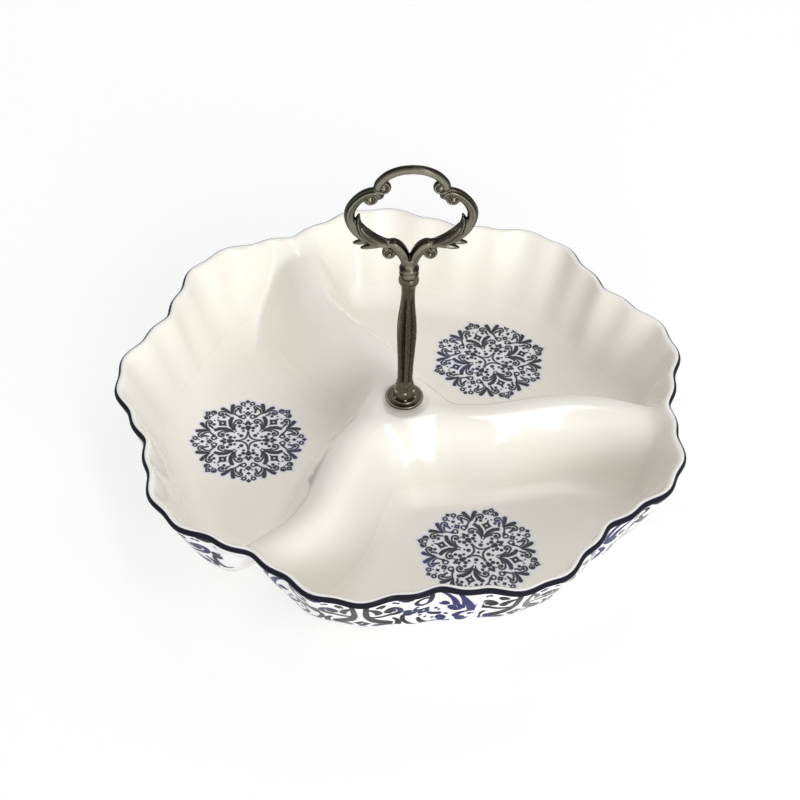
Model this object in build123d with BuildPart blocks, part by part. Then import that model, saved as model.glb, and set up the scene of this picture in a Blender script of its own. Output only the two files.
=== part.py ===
import math
import os

from build123d import *

# Bowl, in mm
BOWL_HEIGHT = 42.0
LIP_RADIUS = 120.0
LIP_THICKNESS = 3.6
LOBE_COUNT = 9
LOBE_DEPTH = 4.6
RIPPLE_COUNT = 36
RIPPLE_DEPTH = 0.9
SHELL = 5.0
FOOT_GRIND = 0.4
WALL_SLOPE = 66.0
WALL_FILLET = 18.0
BOWL_TURN = -5.0

# Dividers and the boss where they meet
DIVIDER_COUNT = 3
CREST_DROP = 6.6
CREST_RADIUS = 11.0
DIVIDER_FILLET = 9.0
DIVIDER_SLOPE = 62.0
SWIRL_OFFSET = 5.2
SWIRL_LENGTH = 105.0
BOSS_RADIUS = 9.0
BOSS_BLEND = 8.0
WALL_BLEND_POWER = 5
SEAT_DEPTH = 0.4
SEAT_RADIUS = 10.0
LOWER_SEAT_DEPTH = 0.3
LOWER_SEAT_RADIUS = 9.0

# Sampling of the bowl's surface
RING_POINTS = 144
FLOOR_RINGS = 22
WALL_RINGS = 9
LIP_STEPS = 4
AXIS_RADIUS = 1.2
PROBE = 0.0005

# Clamp stack on the boss
SCREW_RADIUS = 2.0
THREAD_CLEARANCE = 0.1
PASS_CLEARANCE = 0.75
GASKET_THICKNESS = 0.8
GASKET_RADIUS = 6.0
LOWER_GASKET_RADIUS = 7.5
WASHER_THICKNESS = 1.2
WASHER_RADIUS = 8.0
HEAD_RADIUS = 4.2
HEAD_HEIGHT = 2.6
HEAD_EDGE = 0.8
SLOT_WIDTH = 1.1
SLOT_DEPTH = 1.3
THREAD_ENGAGEMENT = 10.0
THREAD_RELIEF = 2.0

# Foot flange
FLANGE_RADIUS = 8.7
FLANGE_BASE_RADIUS = 6.4
FLANGE_THICKNESS = 1.2
FLANGE_RISE = 1.4

# Stem
CUP_HEIGHT = 9.2
CUP_FOOT_RADIUS = 3.9
CUP_RADIUS = 4.8
CUP_BELLY_SHARE = 0.35
CUP_LIP_RADIUS = 4.3
SHAFT_HEIGHT = 57.0
SHAFT_FOOT_RADIUS = 3.75
SHAFT_BELLY_RADIUS = 4.45
SHAFT_WAIST_RADIUS = 2.95
SHAFT_BELLY_SHARE = 0.56
FLUTE_COUNT = 6
FLUTE_DEPTH = 0.16
SHAFT_SECTIONS = 9
SHAFT_POINTS = 72
COLLAR_RADIUS = 4.4
COLLAR_HEIGHT = 3.8
COLLAR_NECK = 3.1

# Joining stud
STUD_RADIUS = 1.5
STUD_CLEARANCE = 0.05
STUD_LENGTH = 13.0
STUD_RELIEF = 0.5

# Ring, with heights from its lower collar face
RING_COLLAR_HEIGHT = 7.0
RING_NECK_RADIUS = 3.1
RING_NECK_TOP = 11.0
ARM_RADIUS = 2.3
ARM_MIDDLE = (3.0, 13.4)
ARM_TIP = (7.2, 18.2)
LOWER_VOLUTE = (8.4, 13.6)
LOWER_VOLUTE_RADIUS = 3.3
SIDE_TUBE_RADIUS = 2.05
SIDE_START = (9.0, 17.6)
SIDE_LOW = (17.0, 20.2)
SIDE_CORNER = (22.6, 24.4)
SIDE_OUTER = (25.0, 30.8)
SIDE_HIGH = (22.9, 39.0)
SIDE_END = (14.8, 44.4)
SIDE_VOLUTE = (16.6, 42.0)
SIDE_VOLUTE_RADIUS = 3.0
TOP_TUBE_RADIUS = 1.6
TOP_ARC_END = (13.6, 47.6)
TOP_ARC_HEIGHT = 55.9
TOP_VOLUTE = (11.5, 47.2)
TOP_VOLUTE_RADIUS = 3.7
VOLUTE_THICKNESS = 3.6
BEAD_RADIUS = 1.3
BEAD_RISE = 0.5
LEAF_THICKNESS = 3.2
LEAF_ROOT_LOW = (9.5, 16.2)
LEAF_BARB_LOW = (19.3, 16.0)
LEAF_BARB_NOTCH = (19.9, 18.2)
LEAF_BARB_HIGH = (22.9, 18.8)
LEAF_BACK = (24.0, 24.0)
LEAF_TIP_HIGH = (21.3, 32.9)
LEAF_TIP_NOTCH = (20.6, 28.4)
LEAF_TIP_LOW = (19.5, 27.2)
LEAF_ROOT_HIGH = (13.0, 20.9)

# Heights that follow from the stack
crest_z = BOWL_HEIGHT - CREST_DROP
seat_z = crest_z - SEAT_DEPTH
lower_seat_z = crest_z - SHELL + LOWER_SEAT_DEPTH
flange_z = seat_z + GASKET_THICKNESS
stem_z = flange_z + FLANGE_THICKNESS
shaft_z = stem_z + CUP_HEIGHT
collar_z = shaft_z + SHAFT_HEIGHT
ring_z = collar_z + COLLAR_HEIGHT
lower_gasket_z = lower_seat_z - GASKET_THICKNESS
washer_z = lower_gasket_z - WASHER_THICKNESS
screw_top_z = stem_z + THREAD_ENGAGEMENT
pass_radius = SCREW_RADIUS + PASS_CLEARANCE
floor_z = SHELL - FOOT_GRIND


def run_and_rise(slope, radii, height):
    # Horizontal run of a slope between two arcs whose radii sum to radii
    bend = math.radians(slope)
    straight = (height - radii * (1 - math.cos(bend))) / math.sin(bend)
    return radii * math.sin(bend) + straight * math.cos(bend)


def arc_slope(run, slope, first, last, height):
    # Fall along a slope that leaves a crest arc and ends in a base arc
    bend = math.radians(slope)
    total = run_and_rise(slope, first + last, height)
    if run <= first * math.sin(bend):
        return first - math.sqrt(first**2 - run**2)
    if run >= total:
        return height
    left = total - run
    if left <= last * math.sin(bend):
        return height - last + math.sqrt(last**2 - left**2)
    start = first * math.sin(bend)
    return first * (1 - math.cos(bend)) + (run - start) * math.tan(bend)


def smooth_least(one, two, blend):
    share = max(blend - abs(one - two), 0) / blend
    return min(one, two) - share**2 * blend / 4


wall_bend = math.radians(WALL_SLOPE)
wall_top = BOWL_HEIGHT - LIP_THICKNESS / 2 * (1 - math.cos(wall_bend))
wall_radius = LIP_RADIUS - LIP_THICKNESS / 2 * math.sin(wall_bend)
wall_rise = wall_top - floor_z
wall_run = run_and_rise(WALL_SLOPE, WALL_FILLET, wall_rise)
floor_radius = wall_radius - wall_run
divider_rise = crest_z - floor_z
turn = math.radians(BOWL_TURN)


def divider_height(x, y):
    # Height over the floor of the dividers and boss at a point in plan
    reach = max(math.hypot(x, y) - BOSS_RADIUS, 0)
    for k in range(DIVIDER_COUNT):
        angle = turn + 2 * math.pi * k / DIVIDER_COUNT
        along = x * math.cos(angle) + y * math.sin(angle)
        across = y * math.cos(angle) - x * math.sin(angle)
        wave = 2 * math.pi / SWIRL_LENGTH
        if along > 0:
            lean = SWIRL_OFFSET * wave * math.cos(wave * along)
            gap = abs(across + SWIRL_OFFSET * math.sin(wave * along)) / math.hypot(1, lean)
        else:
            gap = math.hypot(along, across)
        reach = smooth_least(reach, gap, BOSS_BLEND)
    fall = arc_slope(max(reach, 0), DIVIDER_SLOPE, CREST_RADIUS, DIVIDER_FILLET, divider_rise)
    return divider_rise - fall


def wall_share(radius):
    return max(radius - floor_radius, 0) / wall_run


def inner(radius, angle):
    # Point of the inner surface at a ring's nominal radius
    share = wall_share(radius)
    swell = share**2 * (2 - share)
    phase = angle - turn
    lobes = LOBE_DEPTH * math.cos(LOBE_COUNT * phase) + RIPPLE_DEPTH * math.cos(RIPPLE_COUNT * phase)
    reach = radius - swell * lobes
    x, y = reach * math.cos(angle), reach * math.sin(angle)
    wall = wall_rise - arc_slope(wall_radius - radius, WALL_SLOPE, 0, WALL_FILLET, wall_rise)
    wall_part = (wall / wall_rise) ** WALL_BLEND_POWER
    divider_part = (divider_height(x, y) / wall_rise) ** WALL_BLEND_POWER
    joined = wall_part + divider_part * (1 - wall_part)
    return Vector(x, y, floor_z + wall_rise * joined ** (1 / WALL_BLEND_POWER))


def frame_at(radius, angle):
    # Point, normal into the bowl and direction up the wall
    here = inner(radius, angle)
    climb = inner(radius, angle) - inner(radius - PROBE, angle)
    spread = inner(radius, angle + PROBE) - inner(radius, angle - PROBE)
    normal = climb.cross(spread).normalized()
    return here, normal, spread.cross(normal).normalized()


def ring(place):
    # Closed curve through one point per sample angle
    angles = [2 * math.pi * k / RING_POINTS for k in range(RING_POINTS)]
    steps = [k / RING_POINTS for k in range(RING_POINTS + 1)]
    return Wire([Edge.make_spline([place(a) for a in angles], periodic=True, parameters=steps)])


def lip(angle, bend):
    here, normal, climb = frame_at(wall_radius, angle)
    half = LIP_THICKNESS / 2
    return here - normal * half + (normal * math.cos(bend) + climb * math.sin(bend)) * half


def outer(radius, angle):
    # The wall thins from the floor to the lip
    here, normal, climb = frame_at(radius, angle)
    return here - normal * (SHELL + (LIP_THICKNESS - SHELL) * wall_share(radius))


floor_step = (floor_radius - AXIS_RADIUS) / FLOOR_RINGS
radii = [AXIS_RADIUS + floor_step * k for k in range(FLOOR_RINGS)]
radii += [floor_radius + wall_run * k / WALL_RINGS for k in range(WALL_RINGS + 1)]
rings = [ring(lambda a, r=r: inner(r, a)) for r in radii]
rings += [ring(lambda a, k=k: lip(a, math.pi * k / LIP_STEPS)) for k in range(1, LIP_STEPS)]
rings += [ring(lambda a, r=r: outer(r, a)) for r in reversed(radii)]

with BuildPart() as bowl:
    add(Solid.make_loft(rings))
    with BuildSketch(Plane.XY):
        Circle(LIP_RADIUS)
    extrude(amount=-SHELL, mode=Mode.SUBTRACT)
    with BuildSketch(Plane.XY.offset(seat_z)):
        Circle(SEAT_RADIUS)
    extrude(amount=SHELL, mode=Mode.SUBTRACT)
    with BuildSketch(Plane.XY.offset(lower_seat_z)):
        Circle(LOWER_SEAT_RADIUS)
    extrude(amount=-SHELL, mode=Mode.SUBTRACT)
    with BuildSketch(Plane.XY):
        Circle(pass_radius)
    extrude(amount=crest_z, mode=Mode.SUBTRACT)
bowl.part.label = "bowl"

with BuildPart() as upper_gasket:
    with BuildSketch(Plane.XY.offset(seat_z)):
        Circle(GASKET_RADIUS)
        Circle(pass_radius, mode=Mode.SUBTRACT)
    extrude(amount=GASKET_THICKNESS)
upper_gasket.part.label = "upper_gasket"

with BuildPart() as lower_gasket:
    with BuildSketch(Plane.XY.offset(lower_gasket_z)):
        Circle(LOWER_GASKET_RADIUS)
        Circle(pass_radius, mode=Mode.SUBTRACT)
    extrude(amount=GASKET_THICKNESS)
lower_gasket.part.label = "lower_gasket"

with BuildPart() as lower_washer:
    with BuildSketch(Plane.XY.offset(washer_z)):
        Circle(WASHER_RADIUS)
        Circle(pass_radius, mode=Mode.SUBTRACT)
    extrude(amount=WASHER_THICKNESS)
lower_washer.part.label = "lower_washer"

with BuildPart() as fixing_screw:
    with BuildSketch(Plane.XZ):
        with BuildLine():
            Polyline(
                (0, washer_z - HEAD_HEIGHT),
                (HEAD_RADIUS - HEAD_EDGE, washer_z - HEAD_HEIGHT),
                (HEAD_RADIUS, washer_z - HEAD_HEIGHT + HEAD_EDGE),
                (HEAD_RADIUS, washer_z),
                (SCREW_RADIUS, washer_z),
                (SCREW_RADIUS, screw_top_z),
                (0, screw_top_z),
                close=True,
            )
        make_face()
    revolve(axis=Axis.Z)
    with BuildSketch(Plane.XY.offset(washer_z - HEAD_HEIGHT)):
        Rectangle(2 * HEAD_RADIUS + SLOT_WIDTH, SLOT_WIDTH)
    extrude(amount=SLOT_DEPTH, mode=Mode.SUBTRACT)
fixing_screw.part.label = "fixing_screw"

with BuildPart() as foot_flange:
    with BuildSketch(Plane.XZ):
        with BuildLine():
            Polyline(
                (pass_radius, flange_z),
                (FLANGE_BASE_RADIUS, flange_z),
                (FLANGE_RADIUS, flange_z + FLANGE_RISE),
                (FLANGE_RADIUS, flange_z + FLANGE_RISE + FLANGE_THICKNESS),
                (FLANGE_RADIUS - FLANGE_THICKNESS, flange_z + FLANGE_RISE + FLANGE_THICKNESS),
                (FLANGE_BASE_RADIUS - FLANGE_THICKNESS, flange_z + FLANGE_THICKNESS),
                (pass_radius, flange_z + FLANGE_THICKNESS),
                close=True,
            )
        make_face()
    revolve(axis=Axis.Z)
foot_flange.part.label = "foot_flange"


def shaft_radius(share):
    # Foot, belly and waist joined by half waves
    if share < SHAFT_BELLY_SHARE:
        low, high, place = SHAFT_FOOT_RADIUS, SHAFT_BELLY_RADIUS, share / SHAFT_BELLY_SHARE
    else:
        low, high = SHAFT_BELLY_RADIUS, SHAFT_WAIST_RADIUS
        place = (share - SHAFT_BELLY_SHARE) / (1 - SHAFT_BELLY_SHARE)
    return low + (high - low) * (1 - math.cos(math.pi * place)) / 2


def shaft_outline(share):
    points = []
    for k in range(SHAFT_POINTS):
        angle = 2 * math.pi * k / SHAFT_POINTS
        groove = FLUTE_DEPTH * math.cos(FLUTE_COUNT * angle / 2) ** 4
        reach = shaft_radius(share) * (1 - groove)
        points.append((reach * math.cos(angle), reach * math.sin(angle)))
    return points


with BuildPart() as handle_stem:
    for k in range(SHAFT_SECTIONS):
        share = k / (SHAFT_SECTIONS - 1)
        with BuildSketch(Plane.XY.offset(shaft_z + SHAFT_HEIGHT * share)):
            with BuildLine():
                Spline(*shaft_outline(share), periodic=True)
            make_face()
    loft()
    with BuildSketch(Plane.XZ):
        with BuildLine():
            foot = Line((0, stem_z), (CUP_FOOT_RADIUS, stem_z))
            belly = Spline(
                foot @ 1,
                (CUP_RADIUS, stem_z + CUP_HEIGHT * CUP_BELLY_SHARE),
                (CUP_LIP_RADIUS, stem_z + CUP_HEIGHT),
            )
            Polyline(belly @ 1, (0, stem_z + CUP_HEIGHT), (0, stem_z))
        make_face()
    revolve(axis=Axis.Z)
    with BuildSketch(Plane.XZ):
        with BuildLine():
            low = Line((0, collar_z), (COLLAR_NECK, collar_z))
            bead = ThreePointArc(
                low @ 1,
                (COLLAR_RADIUS, collar_z + COLLAR_HEIGHT / 2),
                (COLLAR_NECK, collar_z + COLLAR_HEIGHT),
            )
            Polyline(bead @ 1, (0, ring_z), (0, collar_z))
        make_face()
    revolve(axis=Axis.Z)
    with BuildSketch(Plane.XY.offset(stem_z)):
        Circle(SCREW_RADIUS + THREAD_CLEARANCE)
    extrude(amount=THREAD_ENGAGEMENT + THREAD_RELIEF, mode=Mode.SUBTRACT)
    with BuildSketch(Plane.XY.offset(ring_z)):
        Circle(STUD_RADIUS + STUD_CLEARANCE)
    extrude(amount=-(STUD_LENGTH / 2 + STUD_RELIEF), mode=Mode.SUBTRACT)
handle_stem.part.label = "handle_stem"

with BuildPart() as joining_stud:
    with BuildSketch(Plane.XY.offset(ring_z - STUD_LENGTH / 2)):
        Circle(STUD_RADIUS)
    extrude(amount=STUD_LENGTH)
joining_stud.part.label = "joining_stud"

ring_plane = Plane((0, 0, ring_z), x_dir=(1, 0, 0), z_dir=(0, -1, 0))


side_volutes = (
    (LOWER_VOLUTE, LOWER_VOLUTE_RADIUS),
    (SIDE_VOLUTE, SIDE_VOLUTE_RADIUS),
    (TOP_VOLUTE, TOP_VOLUTE_RADIUS),
)
bead_y = VOLUTE_THICKNESS / 2 - BEAD_RISE

with BuildPart() as handle_ring:
    with BuildLine(ring_plane) as side_path:
        Spline(SIDE_START, SIDE_LOW, SIDE_CORNER, SIDE_OUTER, SIDE_HIGH, SIDE_END)
    with BuildSketch(Plane(side_path.line @ 0, z_dir=side_path.line % 0)):
        Circle(SIDE_TUBE_RADIUS)
    sweep(path=side_path.line)
    with Locations(side_path.line @ 0, side_path.line @ 1):
        Sphere(SIDE_TUBE_RADIUS)
    with BuildLine(ring_plane) as arm_path:
        Spline((0, RING_COLLAR_HEIGHT), ARM_MIDDLE, ARM_TIP)
    with BuildSketch(Plane(arm_path.line @ 0, z_dir=arm_path.line % 0)):
        Circle(ARM_RADIUS)
    sweep(path=arm_path.line)
    with Locations(arm_path.line @ 1):
        Sphere(ARM_RADIUS)
    for centre, radius in side_volutes:
        with BuildSketch(ring_plane):
            with Locations(centre):
                Circle(radius)
        extrude(amount=VOLUTE_THICKNESS / 2, both=True)
        x, z = centre[0], ring_z + centre[1]
        with Locations((x, bead_y, z), (x, -bead_y, z)):
            Sphere(BEAD_RADIUS)
    with BuildSketch(ring_plane):
        with BuildLine():
            Polyline(
                LEAF_ROOT_LOW,
                LEAF_BARB_LOW,
                LEAF_BARB_NOTCH,
                LEAF_BARB_HIGH,
                LEAF_BACK,
                LEAF_TIP_HIGH,
                LEAF_TIP_NOTCH,
                LEAF_TIP_LOW,
                LEAF_ROOT_HIGH,
                close=True,
            )
        make_face()
    extrude(amount=LEAF_THICKNESS / 2, both=True)
    mirror(about=Plane.YZ)
    with BuildLine(ring_plane) as top_path:
        ThreePointArc((-TOP_ARC_END[0], TOP_ARC_END[1]), (0, TOP_ARC_HEIGHT), TOP_ARC_END)
    with BuildSketch(Plane(top_path.line @ 0, z_dir=top_path.line % 0)):
        Circle(TOP_TUBE_RADIUS)
    sweep(path=top_path.line)
    with BuildSketch(ring_plane):
        with BuildLine():
            low = Line((0, 0), (COLLAR_NECK, 0))
            first = ThreePointArc(
                low @ 1,
                (COLLAR_RADIUS, RING_COLLAR_HEIGHT / 4),
                (COLLAR_NECK, RING_COLLAR_HEIGHT / 2),
            )
            second = ThreePointArc(
                first @ 1,
                (COLLAR_RADIUS, 3 * RING_COLLAR_HEIGHT / 4),
                (COLLAR_NECK, RING_COLLAR_HEIGHT),
            )
            Polyline(second @ 1, (RING_NECK_RADIUS, RING_NECK_TOP), (0, RING_NECK_TOP), (0, 0))
        make_face()
    revolve(axis=Axis.Z)
    with BuildSketch(Plane.XY.offset(ring_z)):
        Circle(STUD_RADIUS + STUD_CLEARANCE)
    extrude(amount=STUD_LENGTH / 2 + STUD_RELIEF, mode=Mode.SUBTRACT)
handle_ring.part.label = "handle_ring"

os.makedirs("parts", exist_ok=True)
export_step(bowl.part, "parts/bowl.step")
export_step(upper_gasket.part, "parts/upper_gasket.step")
export_step(lower_gasket.part, "parts/lower_gasket.step")
export_step(lower_washer.part, "parts/lower_washer.step")
export_step(fixing_screw.part, "parts/fixing_screw.step")
export_step(foot_flange.part, "parts/foot_flange.step")
export_step(handle_stem.part, "parts/handle_stem.step")
export_step(joining_stud.part, "parts/joining_stud.step")
export_step(handle_ring.part, "parts/handle_ring.step")
for one in (bowl, foot_flange, handle_stem, handle_ring):
    print(one.part.label, one.part.is_valid, len(one.part.solids()), one.part.bounding_box())
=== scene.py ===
import math

import bmesh
import bpy
from mathutils import Matrix, Vector


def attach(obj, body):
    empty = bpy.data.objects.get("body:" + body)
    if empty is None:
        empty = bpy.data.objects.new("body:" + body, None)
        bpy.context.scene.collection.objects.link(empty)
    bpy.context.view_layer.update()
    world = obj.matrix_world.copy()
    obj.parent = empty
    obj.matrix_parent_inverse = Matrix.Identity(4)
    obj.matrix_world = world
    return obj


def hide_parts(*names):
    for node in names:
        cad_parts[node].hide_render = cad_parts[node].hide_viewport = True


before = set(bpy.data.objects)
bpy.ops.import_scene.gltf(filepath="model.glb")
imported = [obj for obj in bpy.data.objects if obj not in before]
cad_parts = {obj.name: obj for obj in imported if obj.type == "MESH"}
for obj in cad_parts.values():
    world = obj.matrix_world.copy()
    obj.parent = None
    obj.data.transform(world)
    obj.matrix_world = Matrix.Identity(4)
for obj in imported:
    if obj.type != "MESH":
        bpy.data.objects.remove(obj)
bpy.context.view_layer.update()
mm = 0.001
print("frame loaded:", sorted(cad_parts))


class Thread:  # one shader value, so that patterns are written as sums
    def __init__(self, tree, socket):
        self.tree, self.socket = tree, socket

    def node(self, kind, settings=None, inputs=None, out=0):
        made = self.tree.nodes.new(kind)
        for name, value in (settings or {}).items():
            setattr(made, name, value)
        for name, value in (inputs or {}).items():
            if isinstance(value, Thread):
                self.tree.links.new(value.socket, made.inputs[name])
            else:
                made.inputs[name].default_value = value
        return Thread(self.tree, made.outputs[out])

    def math(self, operation, *others):
        inputs = dict(enumerate((self, *others)))
        return self.node("ShaderNodeMath", {"operation": operation}, inputs)

    def __add__(self, other):
        return self.math("ADD", other)

    def __sub__(self, other):
        return self.math("SUBTRACT", other)

    def __mul__(self, other):
        return self.math("MULTIPLY", other)

    def __mod__(self, other):
        return self.math("FLOORED_MODULO", other)

    def __abs__(self):
        return self.math("ABSOLUTE")

    def __rsub__(self, other):
        return self.node("ShaderNodeMath", {"operation": "SUBTRACT"}, {0: other, 1: self})

    __radd__ = __add__
    __rmul__ = __mul__

    def timesPlus(self, factor, extra):
        return self.math("MULTIPLY_ADD", factor, extra)

    def least(self, other):
        return self.math("MINIMUM", other)

    def most(self, other):
        return self.math("MAXIMUM", other)

    def clamp(self, low, high):
        return self.node("ShaderNodeClamp", None, {"Value": self, "Min": low, "Max": high})

    def ramp(self, low, high):  # 0 at low, 1 at high, eased
        return self.node(
            "ShaderNodeMapRange",
            {"interpolation_type": "SMOOTHSTEP"},
            {"Value": self, "From Min": low, "From Max": high},
        )


def newFinish(name):
    finish = bpy.data.materials.new(name)
    finish.use_nodes = True
    tree = finish.node_tree
    shader = tree.nodes["Principled BSDF"]
    coords = tree.nodes.new("ShaderNodeTexCoord")
    return finish, shader, Thread(tree, coords.outputs["Object"])


def axesOf(place):
    split = place.tree.nodes.new("ShaderNodeSeparateXYZ")
    place.tree.links.new(place.socket, split.inputs[0])
    return [Thread(place.tree, split.outputs[k]) for k in range(3)]


def mixColours(factor, first, second):
    return factor.node(
        "ShaderNodeMix",
        {"data_type": "RGBA"},
        {"Factor": factor, 6: asColour(first), 7: asColour(second)},  # its colour sockets
        out=2,
    )


def asColour(value):
    return value if isinstance(value, Thread) else (*value, 1.0)


def plug(thread, shader, socketName):
    thread.tree.links.new(thread.socket, shader.inputs[socketName])


def noiseOn(place, scale, detail):
    inputs = {"Vector": place, "Scale": scale, "Detail": detail}
    return place.node("ShaderNodeTexNoise", None, inputs)


def bumpFrom(height, strength, distance):
    inputs = {"Height": height, "Strength": strength, "Distance": distance}
    return height.node("ShaderNodeBump", None, inputs)


def spinProfile(bm, profile, steps, closed=False):
    row = [bm.verts.new((radius, 0.0, height)) for radius, height in profile]
    edges = [bm.edges.new(pair) for pair in zip(row, row[1:])]
    if closed:
        edges.append(bm.edges.new((row[-1], row[0])))
    bmesh.ops.spin(
        bm,
        geom=row + edges,
        cent=(0, 0, 0),
        axis=(0, 0, 1),
        angle=2 * math.pi,
        steps=steps,
        use_merge=True,
    )
    bmesh.ops.remove_doubles(bm, verts=bm.verts, dist=1e-5)


def keepPiece(name, bm, finishes, body, replaced):
    mesh = bpy.data.meshes.new(name)
    bm.to_mesh(mesh)
    bm.free()
    for face in mesh.polygons:
        face.use_smooth = True
    piece = bpy.data.objects.new(name, mesh)
    bpy.context.scene.collection.objects.link(piece)
    for finish in finishes:
        mesh.materials.append(finish)
    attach(piece, body)
    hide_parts(*replaced)
    print("piece", name, "faces", len(mesh.polygons))


# the glazed bowl, in mm
bowlShape = {
    "height": 42.0,
    "lipRadius": 120.0,
    "lipThickness": 3.6,
    "lobes": 9,
    "lobeDepth": 4.6,
    "ripples": 36,
    "rippleDepth": 0.9,
    "shell": 5.0,
    "footGrind": 0.4,
    "wallSlope": 66.0,
    "wallFillet": 18.0,
    "turn": -5.0,
    "dividers": 3,
    "crestDrop": 6.6,
    "crestRadius": 11.0,
    "dividerFillet": 9.0,
    "dividerSlope": 62.0,
    "swirlOffset": 5.2,
    "swirlLength": 105.0,
    "bossRadius": 9.0,
    "bossBlend": 8.0,
    "blendPower": 5,
    "seatRadius": 10.0,
    "seatDepth": 0.4,
    "lowerSeatRadius": 9.0,
    "lowerSeatDepth": 0.3,
    "holeRadius": 2.75,
    "around": 432,
    "floorRings": (88, 40),  # inside and underneath
    "wallRings": (26, 20),
    "lipSteps": 9,
    "probe": 0.0005,
    "printedFloor": (36.0, 97.0, 8.0),  # inner and outer radius, highest point
    "printedWall": (-1.5, 38.0),  # from and to, down from the lip's outer edge
}


def slopeRun(slope, radii, height):
    bend = math.radians(slope)
    straight = (height - radii * (1 - math.cos(bend))) / math.sin(bend)
    return radii * math.sin(bend) + straight * math.cos(bend)


def slopeFall(run, slope, first, last, height):
    bend = math.radians(slope)
    total = slopeRun(slope, first + last, height)
    if run <= first * math.sin(bend):
        return first - math.sqrt(first**2 - run**2)
    if run >= total:
        return height
    left = total - run
    if left <= last * math.sin(bend):
        return height - last + math.sqrt(last**2 - left**2)
    return first * (1 - math.cos(bend)) + (run - first * math.sin(bend)) * math.tan(bend)


def easedLeast(one, two, blend):
    share = max(blend - abs(one - two), 0) / blend
    return min(one, two) - share**2 * blend / 4


class BowlForm:  # the same surface as the solid, point by point
    def __init__(self, shape):
        self.shape = shape
        bend = math.radians(shape["wallSlope"])
        half = shape["lipThickness"] / 2
        self.floorZ = shape["shell"] - shape["footGrind"]
        self.crestZ = shape["height"] - shape["crestDrop"]
        self.wallRadius = shape["lipRadius"] - half * math.sin(bend)
        self.wallRise = shape["height"] - half * (1 - math.cos(bend)) - self.floorZ
        self.wallRun = slopeRun(shape["wallSlope"], shape["wallFillet"], self.wallRise)
        self.floorRadius = self.wallRadius - self.wallRun
        self.dividerRise = self.crestZ - self.floorZ
        self.turn = math.radians(shape["turn"])

    def divider(self, x, y):
        shape = self.shape
        reach = max(math.hypot(x, y) - shape["bossRadius"], 0)
        swirl, wave = shape["swirlOffset"], 2 * math.pi / shape["swirlLength"]
        for k in range(shape["dividers"]):
            angle = self.turn + 2 * math.pi * k / shape["dividers"]
            along = x * math.cos(angle) + y * math.sin(angle)
            across = y * math.cos(angle) - x * math.sin(angle)
            if along > 0:
                lean = swirl * wave * math.cos(wave * along)
                gap = abs(across + swirl * math.sin(wave * along)) / math.hypot(1, lean)
            else:
                gap = math.hypot(along, across)
            reach = easedLeast(reach, gap, shape["bossBlend"])
        slope, crest, foot = shape["dividerSlope"], shape["crestRadius"], shape["dividerFillet"]
        return self.dividerRise - slopeFall(max(reach, 0), slope, crest, foot, self.dividerRise)

    def wallShare(self, radius):
        return min(max(radius - self.floorRadius, 0) / self.wallRun, 1)

    def inner(self, radius, angle):
        shape, rise = self.shape, self.wallRise
        share = self.wallShare(radius)
        swell = share**2 * (2 - share)
        phase = angle - self.turn
        lobes = shape["lobeDepth"] * math.cos(shape["lobes"] * phase)
        lobes += shape["rippleDepth"] * math.cos(shape["ripples"] * phase)
        reach = radius - swell * lobes
        x, y = reach * math.cos(angle), reach * math.sin(angle)
        run = self.wallRadius - radius
        wall = rise - slopeFall(run, shape["wallSlope"], 0, shape["wallFillet"], rise)
        power = shape["blendPower"]
        wallPart = (wall / rise) ** power
        dividerPart = (self.divider(x, y) / rise) ** power
        joined = wallPart + dividerPart * (1 - wallPart)
        return Vector((x, y, self.floorZ + rise * joined ** (1 / power)))

    def axes(self, radius, angle):
        probe = self.shape["probe"]
        here = self.inner(radius, angle)
        climb = here - self.inner(radius - probe, angle)
        spread = self.inner(radius, angle + probe) - self.inner(radius, angle - probe)
        normal = climb.cross(spread).normalized()
        return here, normal, spread.cross(normal).normalized()

    def lip(self, angle, bend):
        here, normal, climb = self.axes(self.wallRadius, angle)
        half = self.shape["lipThickness"] / 2
        return here - normal * half + (normal * math.cos(bend) + climb * math.sin(bend)) * half

    def outer(self, radius, angle):
        here, normal, _ = self.axes(radius, angle)
        shell, lip = self.shape["shell"], self.shape["lipThickness"]
        return here - normal * (shell + (lip - shell) * self.wallShare(radius))

    def radii(self, side):
        shape = self.shape
        hole, floor, wall = shape["holeRadius"], shape["floorRings"][side], shape["wallRings"][side]
        flat = [hole + (self.floorRadius - hole) * k / floor for k in range(floor)]
        return flat + [self.floorRadius + self.wallRun * k / wall for k in range(wall + 1)]


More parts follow.
